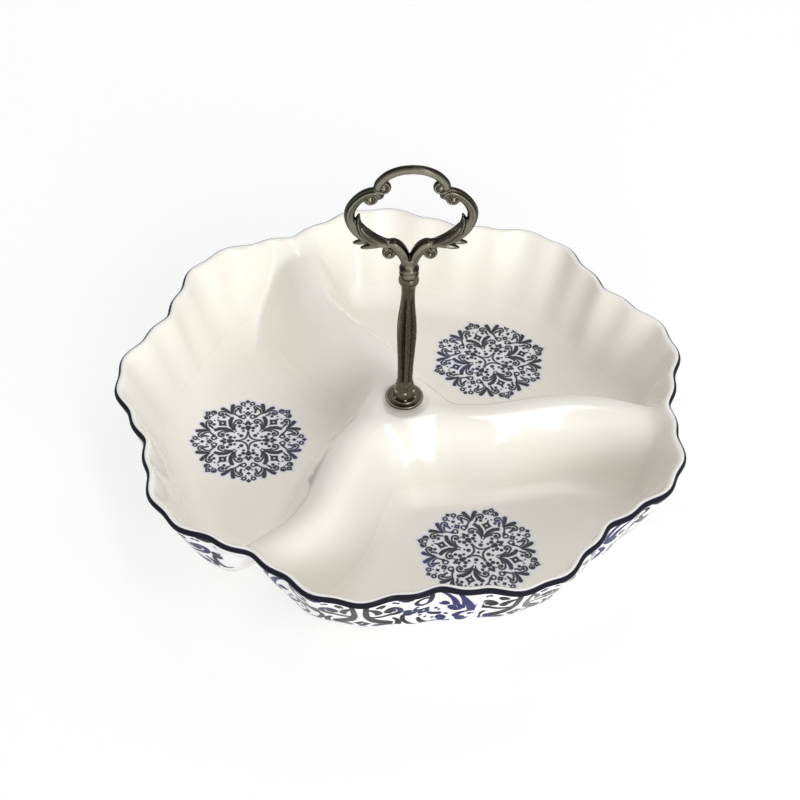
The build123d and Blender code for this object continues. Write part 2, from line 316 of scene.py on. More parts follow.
def makeBowl(shape, finishes):
    form = BowlForm(shape)
    places = [("inner", radius) for radius in form.radii(0)]
    places += [("lip", math.pi * k / shape["lipSteps"]) for k in range(1, shape["lipSteps"])]
    places += [("outer", radius) for radius in reversed(form.radii(1))]
    bm = bmesh.new()
    drop = bm.verts.layers.float.new("wallDrop")
    spinProfile(bm, [(1.0, float(k)) for k in range(len(places))], shape["around"], closed=True)
    seat = form.crestZ - shape["seatDepth"]
    lowerSeat = form.crestZ - shape["shell"] + shape["lowerSeatDepth"]
    half = shape["lipThickness"] / 2
    unprinted = -100.0
    for vert in bm.verts:  # each height of the spun row stands for one place on the bowl
        angle = math.atan2(vert.co.y, vert.co.x)
        kind, value = places[round(vert.co.z)]
        if kind == "lip":
            point = form.lip(angle, value)
            vert[drop] = half * (value - math.pi / 2)
        elif kind == "inner":
            point = form.inner(value, angle)
            vert[drop] = unprinted
            if value < shape["seatRadius"]:
                point.z = min(point.z, seat)
        else:
            point = form.outer(value, angle)
            point.z = max(point.z, 0)
            vert[drop] = (form.lip(angle, math.pi) - point).length + half * math.pi / 2
            if value < shape["lowerSeatRadius"]:
                point.z = max(point.z, lowerSeat)
        vert.co = point * mm
    bmesh.ops.recalc_face_normals(bm, faces=bm.faces)
    near, far, top = shape["printedFloor"]
    start, end = shape["printedWall"]
    floorFinish, wallFinish = 1, 2  # 0 is the plain glaze
    for face in bm.faces:
        drops = [vert[drop] for vert in face.verts]
        reach = [math.hypot(vert.co.x, vert.co.y) / mm for vert in face.verts]
        high = max(vert.co.z for vert in face.verts) / mm
        onFloor = min(reach) > near and max(reach) < far and high < top
        if min(drops) > start and max(drops) < end:
            face.material_index = wallFinish
        elif max(drops) == unprinted and onFloor:
            face.material_index = floorFinish
    keepPiece("glazedBowl", bm, finishes, "bowl", ["bowl"])


scrollForm = {"inwards": 0.62, "thinner": 0.35, "ball": 0.34}  # shares of radius, width, radius


class Stencil:  # printed shapes joined into one distance, negative inside the ink
    def __init__(self, across, down):
        self.across, self.down, self.edge = across, down, None

    def put(self, distance):
        self.edge = distance if self.edge is None else self.edge.least(distance)

    def offset(self, x, y):
        return self.across - x, self.down - y

    def reach(self, dx, dy):
        return dx.timesPlus(dx, dy * dy).math("SQRT")

    def dot(self, x, y, radius):
        self.put(self.reach(*self.offset(x, y)) - radius)

    def loop(self, x, y, radius, width):
        self.put(abs(self.reach(*self.offset(x, y)) - radius) - width)

    def diamond(self, x, y, radius, hole=0.0):
        dx, dy = self.offset(x, y)
        self.pierced(abs(dx) + abs(dy), radius, hole)

    def square(self, x, y, radius, hole):
        dx, dy = self.offset(x, y)
        self.pierced(abs(dx).most(abs(dy)), radius, hole)

    def pierced(self, size, radius, hole):
        self.put((size - radius).most(hole - size) if hole else size - radius)

    def leaf(self, x0, y0, x1, y1, first, last, bow):  # a bowed stroke with round ends
        spanX, spanY = x1 - x0, y1 - y0
        square = spanX**2 + spanY**2
        dx, dy = self.offset(x0, y0)
        share = dx.timesPlus(spanX / square, dy * (spanY / square)).clamp(0.0, 1.0)
        if bow:
            swell = share * (1 - share)
            push = 4 * bow / math.sqrt(square)
            dx = swell.timesPlus(push * spanY, dx)
            dy = swell.timesPlus(-push * spanX, dy)
        length = self.reach(share.timesPlus(-spanX, dx), share.timesPlus(-spanY, dy))
        self.put(length - share.timesPlus(last - first, first))

    def scroll(self, x, y, radius, start, hand, width):  # one turn inwards to a ball
        dx, dy = self.offset(x, y)
        length = self.reach(dx, dy)
        bearing = dy.math("ARCTAN2", dx)
        turned = bearing.timesPlus(hand, -hand * math.radians(start)) % (2 * math.pi)
        line = turned.timesPlus(-scrollForm["inwards"] * radius / (2 * math.pi), radius)
        half = turned.timesPlus(-scrollForm["thinner"] * width / (2 * math.pi), width)
        self.put(abs(length - line) - half)
        self.put(length - scrollForm["ball"] * radius)

    def ink(self, soft, bold):
        return 1 - self.edge.ramp(bold - soft, bold + soft)


# ornament in the compartments: lengths in shares of its radius, for one eighth of the star
medallionPrint = {
    "count": 3,
    "place": 69.7,
    "radius": 25.1,
    "offsets": [  # outwards and round in mm, turn in degrees
        (2.8, -1.5, 5.6),
        (-0.6, -0.5, 6.0),
        (-0.3, 1.1, 3.9),
    ],
    "soft": 0.011,
    "bold": 0.007,
    "ground": (0.035, 0.07),  # the cool ground round the ink, full to none
    "cobaltCloud": (55.0, 1.0),  # noise scale and detail
    "cobalt": (0.56, 0.8),
    "dot": [
        (0.0, 0.0, 0.022),
        (0.1245, 0.1245, 0.034),
        (0.177, 0.174, 0.014),
        (0.37, 0.152, 0.027),
        (0.318, 0.09, 0.034),
        (0.244, 0.085, 0.022),
        (0.44, 0.075, 0.012),
        (0.614, 0.137, 0.031),
        (0.61, 0.43, 0.027),
        (0.751, 0.604, 0.033),
        (0.599, 0.533, 0.012),
        (0.665, 0.63, 0.012),
        (0.735, 0.07, 0.013),
        (0.56, 0.07, 0.011),
        (0.88, 0.05, 0.012),
    ],
    "loop": [
        (0.61, 0.087, 0.042, 0.011),
        (0.945, 0.085, 0.034, 0.013),
        (0.732, 0.612, 0.044, 0.01),
    ],
    "diamond": [(0.69, 0.0, 0.06, 0.014), (0.82, 0.0, 0.038), (1.0, 0.0, 0.044)],
    "square": [(0.457, 0.457, 0.06, 0.021), (0.7185, 0.7185, 0.041, 0.014)],
    "leaf": [  # from, to, first and last half width, bow to the left
        (0.012, 0.215, 0.215, 0.012, 0.014, 0.014, -0.08),
        (0.27, 0.0, 0.33, 0.0, 0.022, 0.05, 0.0),
        (0.492, 0.0, 0.415, 0.036, 0.014, 0.025, 0.0),
        (0.385, 0.385, 0.41, 0.41, 0.006, 0.016, 0.0),
        (0.545, 0.545, 0.51, 0.51, 0.006, 0.018, 0.0),
        (0.285, 0.268, 0.575, 0.29, 0.014, 0.036, 0.036),
        (0.38, 0.31, 0.52, 0.314, 0.028, 0.037, 0.004),
        (0.24, 0.212, 0.305, 0.258, 0.007, 0.012, 0.0),
        (0.30, 0.257, 0.505, 0.222, 0.01, 0.014, 0.028),
        (0.265, 0.23, 0.41, 0.226, 0.01, 0.018, 0.014),
        (0.70, 0.284, 0.905, 0.268, 0.016, 0.034, 0.012),
        (0.70, 0.305, 0.825, 0.45, 0.016, 0.036, -0.01),
        (0.69, 0.266, 0.862, 0.225, 0.009, 0.013, 0.018),
        (0.70, 0.232, 0.785, 0.207, 0.01, 0.018, 0.01),
        (0.715, 0.128, 0.775, 0.142, 0.014, 0.02, 0.0),
        (0.69, 0.275, 0.618, 0.165, 0.01, 0.013, 0.012),
        (0.715, 0.335, 0.75, 0.465, 0.009, 0.013, -0.012),
        (0.63, 0.33, 0.69, 0.40, 0.012, 0.02, 0.008),
    ],
    "scroll": [  # centre, radius, start angle, hand, half width
        (0.472, 0.163, 0.068, 62.0, -1, 0.015),
        (0.833, 0.16, 0.064, 65.0, -1, 0.014),
        (0.69, 0.472, 0.063, -8.0, 1, 0.015),
    ],
}

# ornament round the outside: mm across from a mirror line and down from the dark line
bandPrint = {
    "axes": (24.5, 31.5, 48.2),  # first mirror line, step to the second, seam between, degrees
    "half": 48.0,
    "reach": 121.0,
    "line": (-0.15, 2.9),
    "lineSoft": 0.2,
    "soft": 0.3,
    "bold": 0.45,
    "ground": (3.0, 6.0),
    "gap": (-8.0, 2.0),  # without ink, degrees from a divider
    "seam": (47.6, 48.8),
    "gapSoft": 0.1,
    "last": (30.0, 32.0),
    "cobaltFrom": (30.0, 34.0),
    "cobaltCloud": (55.0, 1.0),
    "cobalt": (0.56, 0.7),
    "dot": [
        (18.3, 0.2, 1.9),
        (16.5, -0.2, 1.2),
        (20.1, -0.2, 1.2),
        (13.4, 2.2, 0.55),
        (14.9, 3.0, 0.5),
        (19.3, 15.8, 1.7),
        (23.2, 9.6, 0.5),
        (31.8, 15.0, 0.55),
        (33.2, 16.8, 0.4),
        (27.2, 21.6, 0.5),
        (40.2, 21.2, 0.6),
        (38.0, 27.4, 0.5),
        (30.6, 24.0, 0.45),
        (36.6, 20.6, 0.6),
        (24.8, 18.6, 0.5),
        (46.8, 20.5, 0.8),
        (46.6, 30.4, 0.8),
    ],
    "loop": [(26.0, 4.6, 3.3, 0.6), (11.5, 29.2, 1.6, 0.6), (36.2, 29.4, 1.5, 0.6)],
    "diamond": [(0.0, 23.4, 3.6, 1.1)],
    "square": [(26.2, 14.4, 2.2, 0.85)],
    "leaf": [
        (2.9, -1.0, 2.4, 12.0, 0.7, 0.95, 0.2),
        (2.4, 11.0, 10.8, 25.0, 0.95, 2.0, 2.1),
        (3.9, 3.4, 7.3, 11.4, 0.5, 1.15, -0.6),
        (3.6, 13.4, 12.3, 15.2, 0.5, 1.0, 1.6),
        (28.9, -0.5, 28.5, 6.4, 0.8, 1.0, -0.5),
        (17.4, 17.4, 17.8, 24.0, 0.6, 0.9, 0.5),
        (17.8, 23.4, 24.6, 28.6, 0.9, 0.5, 1.3),
        (24.0, 21.6, 28.2, 28.6, 0.6, 1.2, 0.8),
        (33.4, -0.5, 39.9, 9.4, 0.5, 1.3, -1.4),
        (41.0, 0.0, 47.2, 15.8, 0.7, 1.75, -0.5),
        (41.2, 0.5, 43.2, 13.6, 0.4, 0.4, -0.5),
        (10.6, 25.2, 9.4, 29.6, 0.8, 0.4, 0.6),
        (28.6, 17.8, 33.2, 20.2, 0.5, 1.1, 0.8),
        (45.2, 17.4, 41.0, 22.4, 0.6, 1.2, 1.2),
        (13.4, 20.2, 15.2, 26.8, 0.5, 1.2, -0.9),
        (1.2, 27.8, 3.0, 32.0, 0.4, 1.0, 0.4),
    ],
    "scroll": [
        (12.6, 11.0, 4.3, 95.0, -1, 1.0),
        (7.9, 3.2, 1.7, 90.0, -1, 0.5),
        (20.0, 13.4, 3.0, -60.0, 1, 0.75),
        (6.4, 28.0, 2.2, 200.0, 1, 0.6),
        (39.4, 13.2, 3.0, -70.0, 1, 0.95),
        (35.3, 9.8, 1.8, 180.0, -1, 0.55),
        (43.2, 24.2, 2.4, 0.0, 1, 0.7),
        (31.0, 29.2, 1.9, 150.0, 1, 0.6),
        (34.0, 24.4, 2.4, 120.0, -1, 0.75),
        (22.0, 29.6, 1.7, 30.0, 1, 0.6),
    ],
}


def stamp(stencil, shapes):
    for kind in ("dot", "loop", "diamond", "square", "leaf", "scroll"):
        for values in shapes[kind]:
            getattr(stencil, kind)(*values)
    return stencil


def medallionInk(place, look, turn):  # ink, its cool ground and how much of it is cobalt
    x, y = axesOf(place)[:2]
    reach = x.timesPlus(x, y * y).math("SQRT") * (1 / mm)
    sector = 2 * math.pi / look["count"]
    turned = (y.math("ARCTAN2", x) - math.radians(turn)) % (2 * math.pi)
    bearing = turned % sector - sector / 2
    index = (turned * (1 / sector)).math("FLOOR")
    chosen = [index.math("COMPARE", float(k), 0.25) for k in range(look["count"])]  # 1 in its sector
    far, beside, tilt = [  # each print sits a little off its place
        sum(here * value for here, value in zip(chosen, values))
        for values in zip(*look["offsets"])
    ]
    outwards = reach * bearing.math("COSINE") - look["place"] - far
    aside = reach * bearing.math("SINE") - beside
    spin = tilt * math.radians(1)
    cosine, sine = spin.math("COSINE"), spin.math("SINE")
    along = abs(outwards.timesPlus(cosine, aside * sine)) * (1 / look["radius"])
    across = abs(aside * cosine - outwards * sine) * (1 / look["radius"])
    stencil = stamp(Stencil(along.most(across), along.least(across)), look)
    ground = 1 - stencil.edge.ramp(*look["ground"])
    cobalt = noiseOn(place, *look["cobaltCloud"]).ramp(*look["cobalt"])
    return stencil.ink(look["soft"], look["bold"]), ground, cobalt


def bandInk(place, look, turn, dividers):
    x, y = axesOf(place)[:2]
    drop = place.node("ShaderNodeAttribute", {"attribute_name": "wallDrop"}, out="Fac")
    sector = 360 / dividers
    bearing = (y.math("ARCTAN2", x) * (180 / math.pi) - turn) % sector
    first, step, seam = look["axes"]
    second = bearing.math("GREATER_THAN", seam)
    aside = (bearing - first - second * step) * (math.radians(1) * look["reach"])
    folded = abs((aside + look["half"]) % (2 * look["half"]) - look["half"])
    top, bottom = look["line"]
    stencil = stamp(Stencil(folded, drop - bottom), look)
    ink = stencil.ink(look["soft"], look["bold"]) * (1 - drop.ramp(*look["last"]))
    ground = 1 - stencil.edge.ramp(*look["ground"])
    fromDivider = (bearing + sector / 2) % sector - sector / 2
    soft = look["gapSoft"]
    for start, end in (look["gap"], look["seam"]):
        middle, half = (start + end) / 2, (end - start) / 2
        ink = ink * abs(fromDivider - middle).ramp(half - soft, half + soft)
    soft = look["lineSoft"]
    line = drop.ramp(top - soft, top + soft) * (1 - drop.ramp(bottom - soft, bottom + soft))
    patches = noiseOn(place, *look["cobaltCloud"]).ramp(*look["cobalt"])
    cobalt = folded.ramp(*look["cobaltFrom"]).most(patches) * (1 - line)
    return ink.most(line), ground, cobalt


# the glaze and its print, heights in m
glazeLook = {
    "body": (0.88, 0.85, 0.785),
    "pooled": (0.86, 0.825, 0.755),
    "cloud": (26.0, 3.0),  # noise scale and detail
    "cloudRange": (0.35, 0.7),
    "bisque": (0.66, 0.60, 0.50),  # the bare clay under the foot
    "bisqueHeight": (0.000175, 0.00035),  # full below, none above
    "bisqueGrain": (900.0, 2.0),
    "bisqueRange": (0.2, 0.5),
    "bisqueRoughness": 0.7,
    "roughness": (0.05, 0.08),
    "satin": (0.0046, 0.02),  # the softer gloss low in the bowl, full below and none above
    "satinRoughness": 0.42,
    "ripple": (60.0, 1.0),
    "rippleBump": (0.03, 0.0005),  # strength and distance
    "gloss": 0.36,
    "coat": 0.1,
    "coatRoughness": 0.03,
    "halo": (0.77, 0.772, 0.835),
    "haloShare": 0.8,
    "navy": (0.009, 0.009, 0.017),
    "cobalt": (0.024, 0.028, 0.11),
    "inkShare": 0.995,
}
bandLook = {**glazeLook, "halo": (0.855, 0.855, 0.885), "gloss": 0.04, "coat": 0.0}


def glazeFinish(name, look, ink=None):
    finish, shader, place = newFinish(name)
    cloud = noiseOn(place, *look["cloud"])
    colour = mixColours(cloud.ramp(*look["cloudRange"]), look["body"], look["pooled"])
    first, last = look["roughness"]
    height = axesOf(place)[2]
    satin = (1 - height.ramp(*look["satin"])) * look["satinRoughness"]
    rough = cloud.timesPlus(last - first, first).most(satin)
    if ink:
        mask, halo, cobalt = ink(place)
        colour = mixColours(halo * look["haloShare"], colour, look["halo"])
        blue = mixColours(cobalt, look["navy"], look["cobalt"])
        colour = mixColours(mask * look["inkShare"], colour, blue)
        shader.inputs["Coat Weight"].default_value = look["coat"]
    else:
        bare = 1 - height.ramp(*look["bisqueHeight"])
        grain = noiseOn(place, *look["bisqueGrain"]).ramp(*look["bisqueRange"])
        colour = mixColours(bare * grain, colour, look["bisque"])
        rough = rough.most(bare * look["bisqueRoughness"])
        plug((1 - bare) * look["coat"], shader, "Coat Weight")
    plug(colour, shader, "Base Color")
    plug(rough, shader, "Roughness")
    plug(bumpFrom(noiseOn(place, *look["ripple"]), *look["rippleBump"]), shader, "Normal")
    shader.inputs["Specular IOR Level"].default_value = look["gloss"]
    shader.inputs["Coat Roughness"].default_value = look["coatRoughness"]
    return finish


bronzeLook = {
    "patinaAndShade": (0.018, 0.016, 0.011),
    "face": (0.108, 0.1, 0.075),
    "wornAndHighlight": (0.40, 0.38, 0.31),
    "roughness": (0.28, 0.15),  # dark and worn
    "grain": (420.0, 3.0),  # noise scale and detail
    "grainShare": (0.03, 0.12),  # in the edges and in the roughness
    "patch": (90.0, 3.0),
    "patchShare": 0.16,
    "faceEdge": (0.38, 0.49),  # ranges over the edge and over the wear and painted light
    "faceOverWearAndLight": (0.05, 0.75),
    "wornEdge": (0.44, 0.5),
    "highlightOverWearAndLight": (0.62, 1.0),
    "brightEdge": (0.5, 0.6),
    "brightShare": 0.6,
    "bump": (0.07, 0.0002),  # strength and distance
}


def bronzeFinish(look):
    finish, shader, place = newFinish("antiqueBronze")
    grain = noiseOn(place, *look["grain"]) - 0.5
    patch = noiseOn(place, *look["patch"]) - 0.5
    edgeGrain, roughGrain = look["grainShare"]
    edge = place.node("ShaderNodeNewGeometry", out="Pointiness") + grain * edgeGrain
    # this attribute carries wear and painted light: lighter towards the front and on beads as
    # painted highlight, darker on bar sides and in flutes as painted shade
    wearAndPaintedLight = place.node("ShaderNodeAttribute", {"attribute_name": "wearAndPaintedLight"}, out="Fac")
    bare = (wearAndPaintedLight + patch * look["patchShare"]).clamp(0.0, 1.0)
    face = edge.ramp(*look["faceEdge"]) * bare.ramp(*look["faceOverWearAndLight"])
    # painted shade: the dark colour is patina in the hollows and also painted shade on bar sides
    # turned away from the front
    colour = mixColours(face, look["patinaAndShade"], look["face"])
    bright = edge.ramp(*look["brightEdge"]).timesPlus(look["brightShare"], 1 - look["brightShare"])
    # painted highlight: the light colour is wear on raised edges and also a painted highlight on
    # front-facing parts and beads
    wornAndHighlight = bright * bare.ramp(*look["highlightOverWearAndLight"]) * edge.ramp(*look["wornEdge"])
    plug(mixColours(wornAndHighlight, colour, look["wornAndHighlight"]), shader, "Base Color")
    first, last = look["roughness"]
    plug(wornAndHighlight.timesPlus(last - first, first) + grain * roughGrain, shader, "Roughness")
    shader.inputs["Metallic"].default_value = 1.0
    plug(bumpFrom(grain, *look["bump"]), shader, "Normal")
    return finish


plainLooks = {
    "zincPlate": {
        "colour": (0.55, 0.55, 0.53),
        "dull": (0.42, 0.42, 0.41),
        "roughness": (0.25, 0.45),
        "metallic": 1.0,
    },
    "softWasher": {
        "colour": (0.72, 0.71, 0.67),
        "dull": (0.64, 0.63, 0.58),
        "roughness": (0.4, 0.6),
        "metallic": 0.0,
    },
}
dullCloud = {"noise": (350.0, 3.0), "range": (0.35, 0.65)}


def plainFinish(name, look):
    finish, shader, place = newFinish(name)
    cloud = noiseOn(place, *dullCloud["noise"])
    dulled = cloud.ramp(*dullCloud["range"])
    plug(mixColours(dulled, look["colour"], look["dull"]), shader, "Base Color")
    first, last = look["roughness"]
    plug(cloud.timesPlus(last - first, first), shader, "Roughness")
    shader.inputs["Metallic"].default_value = look["metallic"]
    return finish


# the cast ring, in mm: x and height over the stem's collar, one half of it
ringShape = {
    "base": 107.0,
    "sides": 12,
    "perSpan": 6,
    "voxel": 0.23,
    "smoothing": (0.5, 3),  # share and rounds
    "collarSteps": 48,
    "collar": [
        (0.0, 0.0),
        (3.2, 0.0),
        (3.6, 0.3),
        (4.05, 0.9),
        (4.15, 1.8),
        (4.0, 2.6),
        (3.75, 3.0),
        (4.0, 3.4),
        (4.25, 4.1),
        (4.15, 4.9),
        (3.6, 5.6),
        (3.1, 6.2),
        (2.9, 7.2),
        (2.7, 10.0),
        (0.0, 10.4),
    ],
    "arm": [  # x, height and half width
        (1.3, 5.0, 1.9),
        (1.6, 8.4, 2.2),
        (2.7, 12.0, 2.6),
        (4.8, 15.6, 2.8),
        (7.0, 17.4, 2.6),
        (9.0, 17.0, 1.9),
        (10.2, 15.2, 1.2),
    ],
    "longLeaf": [
        (9.6, 17.2, 1.2),
        (15.2, 19.3, 1.8),
        (19.4, 23.0, 1.9),
        (21.3, 27.4, 1.6),
        (21.6, 30.4, 1.1),
        (21.2, 32.0, 0.7),
    ],
    "shortLeaf": [
        (9.6, 18.2, 0.9),
        (13.6, 20.2, 1.1),
        (17.0, 22.8, 1.2),
        (18.9, 24.9, 1.0),
        (19.8, 26.6, 0.7),
    ],
    "lowerBarb": [(11.0, 17.0, 1.2), (15.2, 16.4, 1.3), (18.2, 15.8, 1.1), (19.8, 15.4, 0.7)],
    "upperBarb": [(15.6, 19.4, 1.2), (19.0, 18.9, 1.4), (21.6, 18.3, 1.1), (23.0, 18.1, 0.7)],
    "barSides": {  # sides, place in depth, depth to width
        "arm": [(10, 0.0, 1.0)],
        "longLeaf": [(4, -1.0, 1.1), (4, 1.0, 1.1)],
        "shortLeaf": [(4, -1.5, 1.1), (4, 1.5, 1.1)],
        "lowerBarb": [(6, 0.0, 1.2)],
        "upperBarb": [(6, 0.0, 1.2)],
    },
    "paintedLightFacing": (0.48, 0.97),
    "sidePath": [
        (8.6, 17.6),
        (13.0, 18.4),
        (17.0, 20.2),
        (21.0, 23.0),
        (23.6, 26.8),
        (25.0, 31.2),
        (24.8, 35.4),
        (22.8, 39.4),
        (19.4, 42.9),
        (15.6, 44.4),
        (13.4, 43.0),
    ],
    "sideRibs": [(0.0, 2.3, 0.8), (0.6, 1.15, 2.0)],  # shift, half width, depth to width
    "topPath": [(-13.9, 46.6), (-13.0, 49.4), (-9.6, 53.0), (-4.8, 55.2), (0.0, 55.8)],
    "topRibs": [(0.0, 1.95, 0.95), (0.4, 1.1, 1.9)],
    "curls": [  # x, height, radius, start angle, hand, half width, bead
        (8.3, 12.7, 2.55, 70.0, -1, 0.85, 1.1),
        (16.9, 41.3, 2.75, 110.0, 1, 0.9, 1.2),
        (11.5, 47.1, 2.8, 30.0, -1, 0.95, 1.25),
    ],
    "curlDeep": (1.9, 1.0, 2.4),  # the band's depth to width, half depth of web and bead
    "beadReach": 0.9,  # part of a bead given a painted highlight
}

# how its bars and curls are cast
castForm = {
    "capTurns": (40.0, 75.0),
    "curlSteps": 28,
    "curlInner": 0.72,
    "curlTaper": 0.3,
    "webSegments": (20, 12),
    "beadSegments": (16, 10),
}


def easeShare(value, low, high):
    share = min(max((value - low) / (high - low), 0), 1)
    return share * share * (3 - 2 * share)


def smoothLine(points, perSpan):  # an eased line through the points
    ends = [points[0] * 2 - points[1], *points, points[-1] * 2 - points[-2]]
    line = []
    for k in range(1, len(ends) - 2):
        before, here, there, after = ends[k - 1 : k + 3]
        for step in range(perSpan):
            t = step / perSpan
            line.append(
                here
                + (there - before) * (t / 2)
                + (before * 2 - here * 5 + there * 4 - after) * (t * t / 2)
                + (here * 3 - before - there * 3 + after) * (t * t * t / 2)
            )
    return line + [points[-1]]


def castBar(bm, line, sides, shift=0.0, depth=0.0, deep=1.0):  # points: x, height, half width
    stations = []
    for k, point in enumerate(line):
        ahead = line[min(k + 1, len(line) - 1)] - line[max(k - 1, 0)]
        along = Vector((ahead.x, 0, ahead.y)).normalized()
        side = Vector((along.z, 0, -along.x))
        place = Vector((point.x, depth, point.y)) + side * shift
        stations.append((place, along, side, point.z))
    for index, sign in ((0, -1), (-1, 1)):  # round ends
        place, along, side, width = stations[index]
        for degrees in castForm["capTurns"]:
            turn = math.radians(degrees)
            end = place + along * sign * width * math.sin(turn)
            cap = (end, along, side, width * math.cos(turn))
            stations.insert(0 if sign < 0 else len(stations), cap)
    spots = []
    for place, along, side, width in stations:
        turned = Matrix((side, along.cross(side), along)).transposed().to_4x4()
        size = Matrix.Diagonal((width, width * deep, width, 1.0))
        spots.append(Matrix.Translation(place) @ turned @ size)
    ring = bmesh.ops.create_circle(
        bm, cap_ends=True, segments=sides, radius=1.0, matrix=spots[0]
    )["verts"]
    edges = list(dict.fromkeys(edge for vert in ring for edge in vert.link_edges))
    for before, after in zip(spots, spots[1:]):
        made = bmesh.ops.extrude_edge_only(bm, edges=edges)["geom"]
        verts = [item for item in made if isinstance(item, bmesh.types.BMVert)]
        edges = [item for item in made if isinstance(item, bmesh.types.BMEdge)]
        bmesh.ops.transform(bm, matrix=after @ before.inverted(), verts=verts)
        edges = [edge for edge in edges if edge.verts[0] in verts and edge.verts[1] in verts]
    bmesh.ops.edgeloop_fill(bm, edges=edges)


def castCurl(bm, x, height, radius, start, hand, width, bead, sides, depths):
    deep, web, knob = depths
    steps = castForm["curlSteps"]
    line = []
    for k in range(steps + 1):
        share = k / steps
        angle = math.radians(start) + hand * 2 * math.pi * share
        reach = radius * (1 + (castForm["curlInner"] - 1) * share)
        half = width * (1 - castForm["curlTaper"] * share)
        line.append(Vector((x + reach * math.cos(angle), height + reach * math.sin(angle), half)))
    castBar(bm, line, sides, deep=deep)
    for size, depth, segments in (
        (radius, web, castForm["webSegments"]),
        (bead, knob, castForm["beadSegments"]),
    ):
        spot = Matrix.Translation((x, 0, height)) @ Matrix.Diagonal((size, depth, size, 1.0))
        around, up = segments
        bmesh.ops.create_uvsphere(bm, u_segments=around, v_segments=up, radius=1.0, matrix=spot)


def fuseShells(bm, name, voxel, smoothing):  # one cast skin from the overlapping shells
    mesh = bpy.data.meshes.new(name)
    bm.to_mesh(mesh)
    bm.free()
    rough = bpy.data.objects.new(name, mesh)
    bpy.context.scene.collection.objects.link(rough)
    skin = rough.modifiers.new("skin", "REMESH")
    skin.mode, skin.voxel_size = "VOXEL", voxel
    ease = rough.modifiers.new("ease", "SMOOTH")
    ease.factor, ease.iterations = smoothing
    ready = rough.evaluated_get(bpy.context.evaluated_depsgraph_get())
    fused = bmesh.new()
    fused.from_mesh(ready.to_mesh())
    ready.to_mesh_clear()
    bpy.data.objects.remove(rough)
    bpy.data.meshes.remove(mesh)
    return fused


def makeRing(shape, finish):
    bm = bmesh.new()
    for bar, casts in shape["barSides"].items():
        line = smoothLine([Vector(point) for point in shape[bar]], shape["perSpan"])
        for sides, depth, deep in casts:
            castBar(bm, line, sides, depth=depth, deep=deep)
    for part in ("side", "top"):
        for shift, width, deep in shape[part + "Ribs"]:
            points = [Vector((x, height, width)) for x, height in shape[part + "Path"]]
            line = smoothLine(points, shape["perSpan"])
            castBar(bm, line, shape["sides"], shift, deep=deep)
    for curl in shape["curls"]:
        castCurl(bm, *curl, shape["sides"], shape["curlDeep"])
    half = bm.verts[:] + bm.edges[:] + bm.faces[:]
    bmesh.ops.mirror(bm, geom=half, matrix=Matrix(), merge_dist=-1.0, axis="X")
    spinProfile(bm, shape["collar"], shape["collarSteps"])
    bmesh.ops.recalc_face_normals(bm, faces=bm.faces)
    bmesh.ops.translate(bm, vec=(0, 0, shape["base"]), verts=bm.verts)
    bmesh.ops.scale(bm, vec=(mm, mm, mm), verts=bm.verts)
    fused = fuseShells(bm, "ringShells", shape["voxel"] * mm, shape["smoothing"])
    fused.normal_update()
    wearAndPaintedLight = fused.verts.layers.float.new("wearAndPaintedLight")
    beads = [(curl[0], curl[1], shape["beadReach"] * curl[6]) for curl in shape["curls"]]
    for vert in fused.verts:  # painted light: faces turned to the front painted lighter, bar sides painted darker as shade, beads given a painted highlight
        x, height = abs(vert.co.x) / mm, vert.co.z / mm - shape["base"]
        vert[wearAndPaintedLight] = easeShare(abs(vert.normal.y), *shape["paintedLightFacing"])
        if any(math.hypot(x - beadX, height - beadZ) < reach for beadX, beadZ, reach in beads):
            vert[wearAndPaintedLight] = 1.0
    keepPiece("castRing", fused, [finish], "handle", ["handle_ring"])


# the fluted stem, in mm: radius and height
stemShape = {
    "profile": [
        (0.0, 49.0),
        (2.1, 49.0),
        (2.1, 37.0),
        (3.7, 37.0),
        (4.4, 37.3),
        (4.9, 38.6),
        (4.95, 40.0),
        (4.7, 41.6),
        (4.4, 43.2),
        (4.05, 44.8),
        (3.85, 46.0),
        (3.65, 46.9),
    ],
    "shaft": (47.2, 102.4, 46),  # from, to and steps
    "collar": [
        (3.15, 102.8),
        (3.7, 103.1),
        (4.2, 103.9),
        (4.4, 104.9),
        (4.2, 105.9),
        (3.7, 106.6),
        (3.2, 107.0),
        (1.55, 107.0),
        (1.55, 100.0),
        (0.0, 100.0),
    ],
    "radii": [(46.0, 3.4), (52.0, 3.45), (77.0, 4.4), (98.0, 2.95), (103.0, 3.0)],  # height first
    "boreReach": 2.5,
    "flutes": 6,
    "fluteTurn": 5.0,
    "fluteDepth": 0.34,
    "fluteSharpness": 4,
    "fluteFoot": (47.4, 48.5),
    "fluteTop": (93.0, 100.0),
    "petalRise": 0.05,
    "petalShift": 0.4,
    "petals": (38.0, 46.4),
    "steps": 96,
    "wearAndPaintedLight": 0.66,
    "groovePaintedShade": 0.55,
    "beads": [(42.6, 4.0, 1.0), (39.4, 4.7, 0.7)],  # height, reach, radius
    "beadSegments": (14, 10),
}


def stemRadius(height, marks):
    for (low, first), (high, last) in zip(marks, marks[1:]):
        if height <= high:
            return first + (last - first) * easeShare(height, low, high)
    return marks[-1][1]


